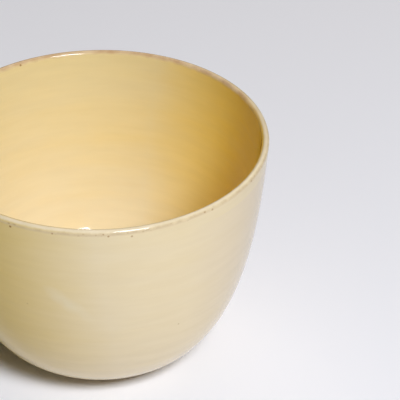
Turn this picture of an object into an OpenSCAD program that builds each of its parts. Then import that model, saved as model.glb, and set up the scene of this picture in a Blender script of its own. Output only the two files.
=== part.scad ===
// Wheel-thrown stoneware cup without a handle, glazed inside and out.
// Every surface is turned about the Z axis; z = 0 is the table under the foot ring.

/* [Cup] */
// Diameter across the outside of the lip
rim_d = 95; // [80:1:120]
// Height from the table to the top of the lip
cup_h = 69; // [55:1:90]
// Outward lean of the wall just under the lip, in degrees
lip_lean = 4.4; // [0:0.1:12]
// How far down from the lip the wall keeps that lean before it turns in
wall_reach = 42.3; // [30:0.1:50]
// How far out from the foot the belly runs before it turns up
belly_reach = 15.3; // [8:0.1:22]
// Rise of the belly where it leaves the foot, in degrees
belly_rise = 13; // [0:1:30]

/* [Wall] */
// Thickness of the lip over both coats of glaze
lip_t = 2.2; // [1.6:0.1:4]
// Thickness of the wall where the belly begins, over both coats of glaze
belly_t = 4.6; // [3:0.1:7]
// Thickness of the floor at its middle, with its glaze
floor_t = 5; // [3:0.1:8]

/* [Foot] */
// Outside diameter of the turned foot ring
foot_d = 41; // [32:1:50]
// Height of the foot ring below the belly
foot_h = 2; // [1:0.1:5]
// Width of the foot ring
foot_ring_w = 5; // [3:0.1:8]
// Depth of the recess turned inside the foot ring
recess_h = 1.2; // [0.5:0.1:3]
// Worn edge on both sides of the foot ring
foot_edge = 0.4; // [0.1:0.1:0.8]

/* [Glaze] */
// Thickness of the coat on the outside wall
outer_coat_t = 0.35; // [0.2:0.01:0.6]
// Thickness of the coat on the inside wall and floor
liner_coat_t = 0.4; // [0.2:0.01:0.6]
// Thickness of the coat where it runs thin over the lip
lip_coat_t = 0.15; // [0.1:0.01:0.3]
// Width of the thinning band on each side of the lip
lip_band_w = 3.5; // [2:0.1:8]
// Bare clay left between the foot ring and the outside coat
wax_gap = 1.5; // [0.5:0.1:4]

/* [Hidden] */

// Roundness of the turned surfaces
turn_fn = 240;
// Steps along the wall, the thinning band, the round of the lip and the floor
wall_steps = 30;
band_steps = 4;
lip_steps = 10;
floor_steps = 14;
// Share of the outside curve, from the foot up, where the inside turns into the floor
floor_turn = 0.45;

clay_colour = [0.66, 0.56, 0.44];
outer_colour = [0.88, 0.82, 0.68];
liner_colour = [0.93, 0.83, 0.62];
lip_colour = [0.80, 0.70, 0.54];

foot_r = foot_d / 2;
lip_r = lip_t / 2;
floor_z = recess_h + floor_t;
lip_centre = [rim_d / 2 - lip_r, cup_h - lip_r];

// Control points of the outside curve, from the top of the foot to the start of the lip
foot_top = [foot_r, foot_h];
lip_start = lip_centre + lip_r * [cos(lip_lean), -sin(lip_lean)];
outside = [
    foot_top,
    foot_top + belly_reach * [cos(belly_rise), sin(belly_rise)],
    lip_start - wall_reach * [sin(lip_lean), cos(lip_lean)],
    lip_start
];

// Places on the outside curve where the outer coat begins and where it starts to thin
wax_at = wax_gap / (3 * belly_reach);
band_at = 1 - lip_band_w / (3 * wall_reach);

function between(a, b, share) = a + (b - a) * share;
function unit(v) = v / norm(v);
// The side away from the clay when the skin is walked up the outside, over the lip and down the inside
function away_from(run) = unit([run[1], -run[0]]);

function outer(t) = (1 - t)^3 * outside[0] + 3 * (1 - t)^2 * t * outside[1]
    + 3 * (1 - t) * t^2 * outside[2] + t^3 * outside[3];
function outer_run(t) = (1 - t)^2 * (outside[1] - outside[0])
    + 2 * (1 - t) * t * (outside[2] - outside[1]) + t^2 * (outside[3] - outside[2]);
function outer_away(t) = away_from(outer_run(t));

// The inside follows the outside at the wall's thickness, which grows from the lip to the belly
function wall_t(t) = between(belly_t, lip_t, t);
function inner(t) = outer(t) - wall_t(t) * outer_away(t);

// The floor leaves the inside wall along the wall's own slope and ends level at the middle
wall_step = (band_at - floor_turn) / wall_steps;
floor_start = inner(floor_turn);
floor_slope = floor_start - inner(floor_turn + wall_step);
floor_corner = floor_start + floor_slope * (floor_z - floor_start[1]) / floor_slope[1];
floor_middle = [0, floor_z];
function floor_curve(s) = (1 - s)^2 * floor_start + 2 * (1 - s) * s * floor_corner + s^2 * floor_middle;
function floor_run(s) = (1 - s) * (floor_corner - floor_start) + s * (floor_middle - floor_corner);

// A skin is a list of [point on the glaze, direction away from the clay, thickness of the coat]
outer_skin = [
    for (i = [0:wall_steps])
        let (t = between(wax_at, band_at, i / wall_steps))
        [outer(t), outer_away(t), outer_coat_t]
];
lip_skin = [
    for (i = [0:band_steps])
        let (share = i / band_steps, t = between(band_at, 1, share))
        [outer(t), outer_away(t), between(outer_coat_t, lip_coat_t, share)],
    for (i = [1:lip_steps - 1])
        let (turn = 180 * i / lip_steps - lip_lean, away = [cos(turn), sin(turn)])
        [lip_centre + lip_r * away, away, lip_coat_t],
    for (i = [0:band_steps])
        let (share = i / band_steps, t = between(1, band_at, share))
        [inner(t), -outer_away(t), between(lip_coat_t, liner_coat_t, share)]
];
liner_skin = [
    for (i = [0:wall_steps])
        let (t = band_at - i * wall_step)
        [inner(t), -outer_away(t), liner_coat_t],
    for (i = [1:floor_steps])
        let (s = i / floor_steps)
        [floor_curve(s), away_from(floor_run(s)), liner_coat_t]
];

function glaze_face(skin) = [for (station = skin) station[0]];
function clay_face(skin) = [for (station = skin) station[0] - station[2] * station[1]];
function backwards(list) = [for (i = [len(list) - 1:-1:0]) list[i]];
function after_first(list) = [for (i = [1:len(list) - 1]) list[i]];

module coat(skin) {
    rotate_extrude($fn = turn_fn)
        polygon(concat(glaze_face(skin), backwards(clay_face(skin))));
}

// Thrown wall and floor with the turned foot, bare below the wax line
module stoneware_body() {
    recess_r = foot_r - foot_ring_w;
    foot = [
        [0, recess_h],
        [recess_r, recess_h],
        [recess_r, foot_edge],
        [recess_r + foot_edge, 0],
        [foot_r - foot_edge, 0],
        [foot_r, foot_edge],
        outer(0) - outer_coat_t * outer_away(0)
    ];
    color(clay_colour)
        rotate_extrude($fn = turn_fn)
            polygon(concat(
                foot,
                clay_face(outer_skin),
                after_first(clay_face(lip_skin)),
                after_first(clay_face(liner_skin))
            ));
}

// Coat on the outside, from the wax line to the thinning band under the lip
module outer_glaze() {
    color(outer_colour) coat(outer_skin);
}

// Coat poured inside, from the thinning band down to the middle of the floor
module liner_glaze() {
    color(liner_colour) coat(liner_skin);
}

// Thin coat over the lip, where the two coats meet and the clay shows through
module lip_glaze() {
    color(lip_colour) coat(lip_skin);
}

stoneware_body();
outer_glaze();
liner_glaze();
lip_glaze();
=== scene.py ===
import math

import bpy
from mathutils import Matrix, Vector


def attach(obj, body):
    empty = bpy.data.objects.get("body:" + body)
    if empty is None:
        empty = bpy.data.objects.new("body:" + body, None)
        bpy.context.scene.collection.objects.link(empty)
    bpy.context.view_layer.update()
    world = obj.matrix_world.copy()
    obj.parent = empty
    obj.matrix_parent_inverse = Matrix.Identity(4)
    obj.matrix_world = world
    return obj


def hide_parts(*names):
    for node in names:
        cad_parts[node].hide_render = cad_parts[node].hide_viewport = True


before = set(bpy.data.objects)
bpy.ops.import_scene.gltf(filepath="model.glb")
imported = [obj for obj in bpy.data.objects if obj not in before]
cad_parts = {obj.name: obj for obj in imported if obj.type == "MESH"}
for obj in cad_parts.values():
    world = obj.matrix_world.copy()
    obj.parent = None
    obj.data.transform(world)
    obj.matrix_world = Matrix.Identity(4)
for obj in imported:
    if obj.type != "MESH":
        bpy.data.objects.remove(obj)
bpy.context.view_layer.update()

# Stoneware body: one ball of buff, iron-flecked clay, thrown on a wheel into wall and floor.
# The low foot ring was turned with a trimming tool. Below the wax line the fired clay stays bare.
mm = 0.001
rim_r = 47.5 * mm
cup_h = 69 * mm
lip_r = 1.1 * mm
lip_lean = math.radians(4.4)
wall_reach = 42.3 * mm
belly_reach = 15.3 * mm
belly_rise = math.radians(13)
lip_t = 2 * lip_r
belly_t = 4.6 * mm
floor_t = 5 * mm
foot_r = 20.5 * mm
foot_h = 2 * mm
foot_ring_w = 5 * mm
foot_edge = 0.4 * mm
recess_h = 1.2 * mm
coat_t = 0.35 * mm
lip_coat_t = 0.15 * mm
lip_band_w = 3.5 * mm
wax_gap = 1.5 * mm
ring_pitch = 4.5 * mm
ring_depth = 0.04 * mm

# Control points of the outside curve as (radius, height), from the top of the foot to the lip
lip_centre = Vector((rim_r - lip_r, cup_h - lip_r))
foot_top = Vector((foot_r, foot_h))
lip_start = lip_centre + lip_r * Vector((math.cos(lip_lean), -math.sin(lip_lean)))
belly_handle = foot_top + belly_reach * Vector((math.cos(belly_rise), math.sin(belly_rise)))
wall_handle = lip_start - wall_reach * Vector((math.sin(lip_lean), math.cos(lip_lean)))

# Shares of that curve: the wax line, the inside's turn into the floor, and the thinning under the lip
wax_at = wax_gap / (3 * belly_reach)
floor_turn = 0.45
band_at = 1 - lip_band_w / (3 * wall_reach)


def away(t):
    """The direction that leaves the clay on the outside curve."""
    s = 1 - t
    run = s * s * (belly_handle - foot_top) + 2 * s * t * (wall_handle - belly_handle)
    run += t * t * (lip_start - wall_handle)
    return Vector((run.y, -run.x)).normalized()


def outside(t):
    """A point of the outside, from the foot at 0 to the lip at 1, with shallow throwing rings."""
    s = 1 - t
    curve = s**3 * foot_top + 3 * s * s * t * belly_handle
    curve += 3 * s * t * t * wall_handle
    curve += t**3 * lip_start
    ring = math.sin(math.pi * curve.y / ring_pitch) ** 2
    return curve - 4 * s * t * ring_depth * ring * away(t)


def inside(t):
    """The point across the wall, whose thickness grows from the lip to the belly."""
    return outside(t) - (belly_t + (lip_t - belly_t) * t) * away(t)


def spread(first, last, steps):
    """Evenly spaced values from first to last, with both ends."""
    return [first + (last - first) * i / steps for i in range(steps + 1)]


# The floor leaves the inside wall along the wall's own slope and ends level at the middle
slope_step = 0.02
floor_z = recess_h + floor_t
floor_start = inside(floor_turn)
floor_slope = floor_start - inside(floor_turn + slope_step)
floor_corner = floor_start + floor_slope * (floor_z - floor_start.y) / floor_slope.y
floor_middle = Vector((0, floor_z))


def floor_curve(s):
    """A point of the inside floor, from the wall at 0 to the middle at 1."""
    return (1 - s) ** 2 * floor_start + 2 * (1 - s) * s * floor_corner + s * s * floor_middle


def lip_round(sink, steps):
    """Points over the round of the lip, from outside to inside, sunk below the glaze."""
    return [
        lip_centre + (lip_r - sink) * Vector((math.cos(a), math.sin(a)))
        for a in spread(-lip_lean, math.pi - lip_lean, steps)
    ]


turns = 192
merge_gap = 0.002 * mm


def turn_on_wheel(name, outline, faces_inwards=False):
    """Draws the outline point by point from one vertex, then spins it once round the Z axis."""
    bpy.ops.object.select_all(action="DESELECT")
    bpy.ops.mesh.primitive_plane_add(size=mm, enter_editmode=True)
    bpy.ops.mesh.merge(type="CENTER")
    bpy.ops.transform.translate(value=(outline[0].x, 0, outline[0].y))
    for here, there in zip(outline, outline[1:]):
        step = there - here
        bpy.ops.mesh.extrude_region_move(TRANSFORM_OT_translate={"value": (step.x, 0, step.y)})
    bpy.ops.mesh.select_all(action="SELECT")
    bpy.ops.mesh.spin(steps=turns, angle=math.tau, center=(0, 0, 0), axis=(0, 0, 1))
    bpy.ops.mesh.select_all(action="SELECT")
    bpy.ops.mesh.remove_doubles(threshold=merge_gap)
    bpy.ops.mesh.normals_make_consistent(inside=faces_inwards)
    bpy.ops.object.mode_set(mode="OBJECT")
    piece = bpy.context.active_object
    piece.name = name
    piece.data.name = name
    return piece


hand = bpy.data.textures.new("uneven hand", "CLOUDS")
hand.noise_scale = 30 * mm
hand_depth = 0.12 * mm


def press_by_hand(piece, group=""):
    """Sinks the turned surface unevenly, as the fingers leave it; coats and clay sink alike."""
    uneven = piece.modifiers.new("uneven", "DISPLACE")
    uneven.texture = hand
    uneven.texture_coords = "LOCAL"
    uneven.mid_level = 1
    uneven.strength = hand_depth
    uneven.vertex_group = group
    bpy.ops.object.modifier_apply(modifier="uneven")


recess_r = foot_r - foot_ring_w
foot_outline = [
    Vector((0, recess_h)),
    Vector((recess_r - foot_edge, recess_h)),
    Vector((recess_r, recess_h - foot_edge)),
    Vector((recess_r, foot_edge)),
    Vector((recess_r + foot_edge, 0)),
    Vector((foot_r - foot_edge, 0)),
    Vector((foot_r, foot_edge)),
]
clay_outline = foot_outline + [outside(t) for t in spread(0, wax_at, steps=3)]
clay_outline += [outside(t) - coat_t * away(t) for t in spread(wax_at, band_at, steps=60)]
clay_outline += lip_round(sink=lip_coat_t, steps=10)
clay_outline += [inside(t) + coat_t * away(t) for t in spread(band_at, floor_turn, steps=60)]
clay_outline += [floor_curve(s) - Vector((0, coat_t)) for s in spread(0, 1, steps=20)[1:]]
clay = turn_on_wheel("stoneware_cup", clay_outline)
thrown = clay.vertex_groups.new(name="thrown")
thrown.add([v.index for v in clay.data.vertices if v.co.z > outside(wax_at).y], 1, "REPLACE")
press_by_hand(clay, "thrown")


def linear(hex_colour):
    """The linear colour of an sRGB hex value."""
    shares = [int(hex_colour[i:i + 2], 16) / 255 for i in (1, 3, 5)]
    return [c / 12.92 if c <= 0.04045 else ((c + 0.055) / 1.055) ** 2.4 for c in shares] + [1]


def add_node(tree, kind, inputs, **settings):
    """Adds a shader node; an input is a value, a socket, or a node whose first output is linked."""
    made = tree.nodes.new("ShaderNode" + kind)
    for name, value in settings.items():
        setattr(made, name, value)
    for name, value in inputs.items():
        if isinstance(value, bpy.types.Node):
            value = value.outputs[0]
        if isinstance(value, bpy.types.NodeSocket):
            tree.links.new(value, made.inputs[name])
        else:
            made.inputs[name].default_value = value
    return made


def start_material(name):
    """A new material with its node tree, its shader and the place on the cup."""
    material = bpy.data.materials.new(name)
    material.use_nodes = True
    tree = material.node_tree
    place = add_node(tree, "TexCoord", {}).outputs["Object"]
    return material, tree, tree.nodes["Principled BSDF"], place


# Bare stoneware is fired clay without glass: the eye sees a dry, grainy buff with dark iron flecks.
blotch_size = 6 * mm
fleck_gap = 1.8 * mm
grain_size = 0.5 * mm
grain_depth = 0.05 * mm
bare_stoneware, tree, shader, place = start_material("bare stoneware")
blotches = add_node(tree, "TexNoise", {"Vector": place, "Scale": 1 / blotch_size, "Detail": 5})
buff = add_node(tree, "MixRGB", {
    "Fac": blotches, "Color1": linear("#a88c6b"), "Color2": linear("#c9b08e")})
flecks = add_node(tree, "TexVoronoi", {"Vector": place, "Scale": 1 / fleck_gap})
in_fleck = add_node(tree, "MapRange", {
    "Value": flecks, "From Min": 0.1, "From Max": 0.2, "To Min": 1, "To Max": 0})
flecked = add_node(tree, "MixRGB", {"Fac": in_fleck, "Color1": buff, "Color2": linear("#5a4030")})
grain = add_node(tree, "TexNoise", {"Vector": place, "Scale": 1 / grain_size, "Detail": 3})
rough_skin = add_node(tree, "Bump", {"Height": grain, "Strength": 0.6, "Distance": grain_depth})
tree.links.new(flecked.outputs[0], shader.inputs["Base Color"])
tree.links.new(rough_skin.outputs[0], shader.inputs["Normal"])
shader.inputs["Roughness"].default_value = 0.85
clay.data.materials.append(bare_stoneware)
crease = math.radians(35)
bpy.ops.object.shade_smooth_by_angle(angle=crease)
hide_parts("stoneware_body")
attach(clay, "root")

# Outer coat: the cup was dipped in cream glaze, which melted to a skin of glass fused to the clay.
# It is a third of a millimetre thick, paler low down, and ends at the wax line just above the foot.
# Painted shade golds the shaded left; painted shade and reflection make the right edge darker and
# pinker.
speck_brown = linear("#8f5c1e")
line_brown = linear("#a88850")
cloud_size = 18 * mm
streak_length = 50 * mm
line_length = 14 * mm
line_width = 1.8 * mm
speck_gap = 21 * mm
pale_below = 5 * mm
full_above = 28 * mm


def glaze_colour(tree, place, thick, thin, painted_shade_gold, side, shade_from, shade_full_at):
    """A coat's colour: paler low down, painted shade deepens one side, streaked and lined along the
    rings.
    """
    height = add_node(tree, "SeparateXYZ", {0: place}).outputs["Z"]
    run_off = add_node(tree, "MapRange", {
        "Value": height, "From Min": 0.2 * cup_h, "From Max": cup_h, "To Min": 0, "To Max": 0.5})
    body = add_node(tree, "MixRGB", {"Fac": run_off, "Color1": linear(thick), "Color2": linear(thin)})
    # Painted shade: towards one side, where the cup is shaded, the coat is painted gold, less so low
    # down
    to_side = add_node(tree, "VectorMath", {0: place, 1: side}, operation="DOT_PRODUCT").outputs["Value"]
    shade_share = add_node(tree, "MapRange", {
        "Value": to_side, "From Min": shade_from, "From Max": shade_full_at, "To Min": 0.06, "To Max": 1})
    low_share = add_node(tree, "MapRange", {
        "Value": height, "From Min": pale_below, "From Max": full_above, "To Min": 0.4, "To Max": 1})
    clouds = add_node(tree, "TexNoise", {"Vector": place, "Scale": 1 / cloud_size, "Detail": 3})
    along_rings = add_node(tree, "Mapping", {
        "Vector": place, "Scale": (1 / streak_length, 1 / streak_length, 1 / ring_pitch)})
    streaks = add_node(tree, "TexNoise", {"Vector": along_rings, "Scale": 1, "Detail": 2})
    uneven = add_node(tree, "Math", {0: clouds, 1: streaks}, operation="MULTIPLY")
    streaky = add_node(tree, "MapRange", {
        "Value": uneven, "From Min": 0.1, "From Max": 0.4, "To Min": -0.05, "To Max": 0.05})
    shade_and_streaks = add_node(tree, "Math", {0: shade_share, 1: low_share, 2: streaky}, operation="MULTIPLY_ADD")
    shaded_and_streaked = add_node(tree, "MixRGB", {"Fac": shade_and_streaks, "Color1": body, "Color2": linear(painted_shade_gold)})
    along_lines = add_node(tree, "Mapping", {
        "Vector": place, "Scale": (1 / line_length, 1 / line_length, 1 / line_width)})
    lines = add_node(tree, "TexNoise", {"Vector": along_lines, "Scale": 1, "Detail": 3})
    in_line = add_node(tree, "MapRange", {
        "Value": lines, "From Min": 0.35, "From Max": 0.65, "To Min": 0, "To Max": 0.05})
    lined = add_node(tree, "MixRGB", {"Fac": in_line, "Color1": shaded_and_streaked, "Color2": line_brown})
    specks = add_node(tree, "TexVoronoi", {"Vector": place, "Scale": 1 / speck_gap})
    in_speck = add_node(tree, "MapRange", {
        "Value": specks, "From Min": 0.008, "From Max": 0.02, "To Min": 0.35, "To Max": 0})
    return add_node(tree, "MixRGB", {"Fac": in_speck, "Color1": lined, "Color2": speck_brown})


def soft_patch(tree, place, middle, turn, reach, strength):
    """The share of a soft-edged patch; middle and reach are in mm, turn in degrees about the Y axis."""
    in_patch = add_node(tree, "Mapping", {
        "Vector": place, "Location": Vector(middle) * mm, "Rotation": (0, math.radians(turn), 0),
        "Scale": Vector(reach) * mm}, vector_type="TEXTURE")
    from_middle = add_node(tree, "VectorMath", {0: in_patch}, operation="LENGTH").outputs["Value"]
    return add_node(tree, "MapRange", {
        "Value": from_middle, "From Min": 0, "From Max": 1.3, "To Min": strength, "To Max": 0})


def add_iron_speck(tree, place, colour, turn, radius, height, size, strength):
    """Iron that bled up from the clay; turn is in degrees from the front to the right, sizes in mm."""
    turn = math.radians(turn)
    spot = Vector((radius * math.sin(turn), -radius * math.cos(turn), height)) * mm
    from_spot = add_node(tree, "VectorMath", {0: place, 1: spot}, operation="DISTANCE").outputs["Value"]
    in_spot = add_node(tree, "MapRange", {
        "Value": from_spot, "From Min": 0.5 * size * mm, "From Max": size * mm,
        "To Min": strength, "To Max": 0})
    return add_node(tree, "MixRGB", {"Fac": in_spot, "Color1": colour, "Color2": speck_brown})


peel_size = 1.5 * mm
peel_depth = 0.005 * mm


def make_glossy(tree, shader, place):
    """The glass of the glaze: a glossy surface with a faint orange-peel."""
    peel = add_node(tree, "TexNoise", {"Vector": place, "Scale": 1 / peel_size, "Detail": 1})
    skin = add_node(tree, "Bump", {"Height": peel, "Strength": 0.5, "Distance": peel_depth})
    tree.links.new(skin.outputs[0], shader.inputs["Normal"])
    shader.inputs["Roughness"].default_value = 0.09
    shader.inputs["IOR"].default_value = 1.42


def lay_coat(name, outline, thickness, glaze, node, faces_inwards=False):
    """Turns the coat's face, sinks it by hand and gives it its thickness towards the clay."""
    coat = turn_on_wheel(name, outline, faces_inwards)
    press_by_hand(coat)
    thick = coat.modifiers.new("coat", "SOLIDIFY")
    thick.thickness = thickness
    thick.offset = -1
    bpy.ops.object.modifier_apply(modifier="coat")
    bpy.ops.object.shade_smooth_by_angle(angle=crease)
    coat.data.materials.append(glaze)
    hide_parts(node)
    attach(coat, "root")


# Cream glaze is milky glass: the eye sees sharp highlights on smooth cream, streaked along the rings,
# with one pale run where the melt slid, and brown specks of iron.
# The gold colour and the side it lies on are painted shade on the outside's shaded left
outer_look = {
    "thick": "#e6d4b0",
    "thin": "#d9c79c",
    "painted_shade_gold": "#ddbe62",
    "side": (-1, 0, -0.12),
    "shade_from": -8 * mm,
    "shade_full_at": 26 * mm,
}
bend_size = 6 * mm
bend_reach = 5 * mm
edge_shade_from = 24 * mm
edge_shade_full_at = 46 * mm
cream_glaze, tree, shader, place = start_material("cream glaze")
cream = glaze_colour(tree, place, **outer_look)
bend = add_node(tree, "TexNoise", {"Vector": place, "Scale": 1 / bend_size, "Detail": 1})
bent = add_node(tree, "VectorMath", {
    0: bend.outputs["Color"], 1: (bend_reach,) * 3, 2: place}, operation="MULTIPLY_ADD")
in_run = soft_patch(tree, bent, middle=(-5.4, -41.4, 45.6), turn=39, reach=(7.5, 4, 1.9), strength=0.38)
with_run = add_node(tree, "MixRGB", {"Fac": in_run, "Color1": cream, "Color2": linear("#e4dabe")})
# Painted shade and reflection: the right edge, turning away from the key light, is painted darker and
# pinker
rightwards = add_node(tree, "SeparateXYZ", {0: place}).outputs["X"]
in_edge_shade = add_node(tree, "MapRange", {
    "Value": rightwards, "From Min": edge_shade_from, "From Max": edge_shade_full_at, "To Min": 0, "To Max": 0.45})
edge_shaded = add_node(tree, "MixRGB", {"Fac": in_edge_shade, "Color1": with_run, "Color2": linear("#d6c3ad")})
specked = add_iron_speck(
    tree, place, edge_shaded, turn=32.5, radius=41.8, height=30.1, size=0.4, strength=0.45)
tree.links.new(specked.outputs[0], shader.inputs["Base Color"])
make_glossy(tree, shader, place)
outer_outline = [outside(t) for t in spread(wax_at, band_at, steps=100)]
lay_coat("outer_coat", outer_outline, coat_t, cream_glaze, "outer_glaze")

# Liner coat: glaze poured into the cup, swilled round, tipped out and fused to the clay by firing.
# It runs from just under the lip to the middle of the floor; at the right, where the inside is shaded,
# it is painted gold.
# Honey glaze is the same glass: the eye sees glossy cream that deepens to gold, and that gold is painted
# shade.
liner_look = {
    "thick": "#ead8af",
    "thin": "#f0da8c",
    "painted_shade_gold": "#fccf2e",
    "side": (1, 0, -0.1),
    "shade_from": 9 * mm,
    "shade_full_at": 36 * mm,
}
honey_glaze, tree, shader, place = start_material("honey glaze")
honey = glaze_colour(tree, place, **liner_look)
# A soft patch of the same painted shade gold on the back wall, right of the middle
in_shade_gold_patch = soft_patch(tree, place, middle=(12, 40, 44), turn=0, reach=(24, 16, 11), strength=0.17)
with_shade_gold_patch = add_node(tree, "MixRGB", {
    "Fac": in_shade_gold_patch, "Color1": honey, "Color2": linear(liner_look["painted_shade_gold"])})
tree.links.new(with_shade_gold_patch.outputs[0], shader.inputs["Base Color"])
make_glossy(tree, shader, place)
liner_outline = [inside(t) for t in spread(band_at, floor_turn, steps=90)]
liner_outline += [floor_curve(s) for s in spread(0, 1, steps=30)[1:]]
lay_coat("liner_coat", liner_outline, coat_t, honey_glaze, "liner_glaze", faces_inwards=True)

# Lip coat: over the lip the molten glaze ran off both ways and left a thin coat, fused to the clay.
# Breaking glaze is glass so thin that the clay's iron shows: the eye sees a cream top with a golden
# inner edge at the front, tan at the back, and a broken brown line of specks along the outer shoulder.
wander = math.radians(20)
wander_size = 2.5 * mm
right_rise = math.radians(20)
shoulder_turn = math.radians(92)
shoulder_speck_gap = 1.5 * mm
breaking_glaze, tree, shader, place = start_material("breaking glaze")

# The turn over the round of the lip is 0 at the top and positive outwards
axes = add_node(tree, "SeparateXYZ", {0: place}).outputs
flat = add_node(tree, "VectorMath", {0: place, 1: (1, 1, 0)}, operation="MULTIPLY")
radius = add_node(tree, "VectorMath", {0: flat}, operation="LENGTH").outputs["Value"]
out_of_lip = add_node(tree, "Math", {0: radius, 1: lip_centre.x}, operation="SUBTRACT")
over_lip = add_node(tree, "Math", {0: axes["Z"], 1: lip_centre.y}, operation="SUBTRACT")
lip_turn = add_node(tree, "Math", {0: out_of_lip, 1: over_lip}, operation="ARCTAN2")
outer_side = add_node(tree, "MapRange", {
    "Value": lip_turn, "From Min": math.radians(-50), "From Max": math.radians(10)})
# The inside and the outside of the lip take the two coats' colours, painted shade included
colour = add_node(tree, "MixRGB", {
    "Fac": outer_side,
    "Color1": glaze_colour(tree, place, **liner_look),
    "Color2": glaze_colour(tree, place, **outer_look)})

# The glaze breaks along ragged lines that sit higher on the right side of the lip
ragged = add_node(tree, "TexNoise", {"Vector": place, "Scale": 1 / wander_size, "Detail": 3})
ragged_by = add_node(tree, "MapRange", {"Value": ragged, "To Min": -wander, "To Max": wander})
ragged_turn = add_node(tree, "Math", {0: lip_turn, 1: ragged_by}, operation="ADD")
higher_by = add_node(tree, "MapRange", {
    "Value": axes["X"], "From Min": 8 * mm, "From Max": 30 * mm, "To Min": 0, "To Max": right_rise})
break_turn = add_node(tree, "Math", {0: ragged_turn, 1: higher_by}, operation="ADD")
to_back = add_node(tree, "MapRange", {"Value": axes["Y"], "From Min": 3 * mm, "From Max": 24 * mm})
breaks = [
    # middle, half width and soft edge in degrees of the break's turn, the size of its patches in mm,
    # their palest and darkest colour, and how strong it is at the front and at the back
    (-15, 20, 50, 4, "#dec194", "#c8a376", 0.25, 1),
    (-60, 12, 14, 4, "#e0b666", "#d6a954", 0.6, 0),
    (24, 12, 32, 4, "#eddcba", "#e6d5b0", 0.9, 0.15),
    (90, 4, 34, 2.5, "#d1bb93", "#b99f7d", 0.6, 0.6),
]
for middle, half_width, soft_edge, patch, pale, dark, front, back in breaks:
    off_middle = add_node(tree, "Math", {0: break_turn, 1: math.radians(middle)}, operation="SUBTRACT")
    distance = add_node(tree, "Math", {0: off_middle}, operation="ABSOLUTE")
    in_break = add_node(tree, "MapRange", {
        "Value": distance,
        "From Min": math.radians(half_width), "From Max": math.radians(half_width + soft_edge),
        "To Min": 1, "To Max": 0})
    strength = add_node(tree, "MapRange", {"Value": to_back, "To Min": front, "To Max": back})
    break_share = add_node(tree, "Math", {0: in_break, 1: strength}, operation="MULTIPLY")
    patches = add_node(tree, "TexNoise", {"Vector": place, "Scale": 1 / (patch * mm), "Detail": 3})
    patchy = add_node(tree, "MapRange", {"Value": patches, "From Min": 0.35, "From Max": 0.65})
    tan = add_node(tree, "MixRGB", {"Fac": patchy, "Color1": linear(pale), "Color2": linear(dark)})
    colour = add_node(tree, "MixRGB", {"Fac": break_share, "Color1": colour, "Color2": tan})

# Small specks crowd along the shoulder; the large ones are set one by one
off_shoulder = add_node(tree, "Math", {0: break_turn, 1: shoulder_turn}, operation="SUBTRACT")
past_shoulder = add_node(tree, "Math", {0: off_shoulder}, operation="ABSOLUTE")
at_shoulder = add_node(tree, "MapRange", {
    "Value": past_shoulder, "From Min": math.radians(8), "From Max": math.radians(30),
    "To Min": 1, "To Max": 0})
small_specks = add_node(tree, "TexVoronoi", {"Vector": place, "Scale": 1 / shoulder_speck_gap})
in_small = add_node(tree, "MapRange", {
    "Value": small_specks, "From Min": 0.1, "From Max": 0.32, "To Min": 0.6, "To Max": 0})
small_share = add_node(tree, "Math", {0: in_small, 1: at_shoulder}, operation="MULTIPLY")
colour = add_node(tree, "MixRGB", {"Fac": small_share, "Color1": colour, "Color2": linear("#9a7042")})
iron_specks = [
    # turn in degrees, radius, height and size in mm, and how much of the glaze's colour it takes away
    (-27.9, 47.4, 67, 0.45, 0.85),
    (-13.2, 47.5, 67.6, 0.36, 0.55),
    (3.3, 47.5, 68.1, 0.34, 0.45),
    (4.9, 47.4, 67.4, 0.38, 0.55),
    (12.5, 47.4, 66.8, 0.42, 0.5),
    (211, 45.4, 68.4, 0.42, 0.7),
]
for speck in iron_specks:
    colour = add_iron_speck(tree, place, colour, *speck)
tree.links.new(colour.outputs[0], shader.inputs["Base Color"])
make_glossy(tree, shader, place)
lip_outline = [outside(t) for t in spread(band_at, 1, steps=6)][:-1] + lip_round(sink=0, steps=20)
lip_outline += [inside(t) for t in spread(1, band_at, steps=6)][1:]
lay_coat("lip_coat", lip_outline, lip_coat_t, breaking_glaze, "lip_glaze")

# Sweep: a sheet of pale paper that the cup stands on, laid flat and wide enough to fill the view.
# Paper is matt and even: the eye sees a faintly cool white with soft shadows and no highlight.
sweep_size = 6
bpy.ops.object.select_all(action="DESELECT")
bpy.ops.mesh.primitive_plane_add(size=sweep_size)
sweep = bpy.context.active_object
sweep.name = "floor"
pale_paper = bpy.data.materials.new("pale paper sweep")
pale_paper.use_nodes = True
shader = pale_paper.node_tree.nodes["Principled BSDF"]
shader.inputs["Base Color"].default_value = linear("#f6f6f7")
shader.inputs["Roughness"].default_value = 0.9
sweep.data.materials.append(pale_paper)

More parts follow.
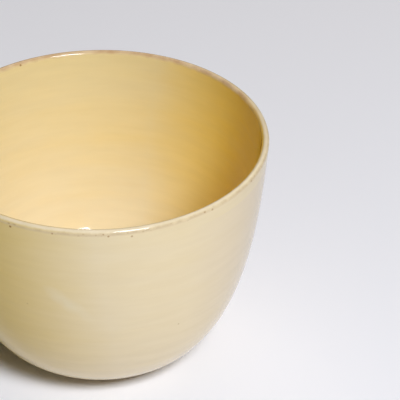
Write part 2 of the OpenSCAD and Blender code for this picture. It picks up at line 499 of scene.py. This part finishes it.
# Light: a soft box in front of the cup, to the right and above it, gives the highlights and the shadow.
# A wider, weaker one behind the cup and a dim, warm room soften the shadow.
scene = bpy.context.scene
room = bpy.data.worlds.new("room")
scene.world = room
room.use_nodes = True
room_light = room.node_tree.nodes["Background"]
room_light.inputs["Color"].default_value = linear("#fff0e0")
room_light.inputs["Strength"].default_value = 0.015


def soft_box(name, turn, lift, distance, width, height, power, colour):
    """A rectangular studio lamp aimed at the cup; turn is in degrees from the front to the right."""
    aim = Vector((0, 0, cup_h / 2))
    turn = math.radians(turn)
    lift = math.radians(lift)
    to_lamp = Vector((math.sin(turn) * math.cos(lift), -math.cos(turn) * math.cos(lift), math.sin(lift)))
    data = bpy.data.lights.new(name, "AREA")
    data.shape = "RECTANGLE"
    data.size = width
    data.size_y = height
    data.energy = power
    data.color = linear(colour)[:3]
    lamp = bpy.data.objects.new(name, data)
    lamp.location = aim + to_lamp * distance
    lamp.rotation_mode = "QUATERNION"
    lamp.rotation_quaternion = (-to_lamp).to_track_quat("-Z", "Y")
    lamp.visible_camera = False
    scene.collection.objects.link(lamp)


soft_box(
    "key light", turn=26, lift=46, distance=1.35, width=0.42, height=0.34, power=19.8, colour="#f0f4ff")
soft_box(
    "back light", turn=165, lift=52, distance=1.1, width=0.8, height=0.6, power=2.6, colour="#fff0dc")

# Camera: a long lens that looks down on the cup from the front.
# Its place follows from how far away the middle of the mouth is and from the pixel where that falls.
photo_px = 400
focal_px = 3000
view_down = math.radians(33.55)
rim_depth = 830.7 * mm
rim_px = Vector((98.0, 135.8))
rim_off = (rim_px - Vector((photo_px / 2, photo_px / 2))) * rim_depth / focal_px
camera_data = bpy.data.cameras.new("camera")
camera_data.sensor_width = 36
camera_data.lens = focal_px / photo_px * camera_data.sensor_width
camera = bpy.data.objects.new("camera", camera_data)
camera.location = (
    -rim_off.x,
    -(rim_depth * math.cos(view_down) - rim_off.y * math.sin(view_down)),
    cup_h + rim_depth * math.sin(view_down) + rim_off.y * math.cos(view_down),
)
camera.rotation_euler = (math.pi / 2 - view_down, 0, 0)
scene.collection.objects.link(camera)
scene.camera = camera
scene.view_settings.view_transform = "Standard"
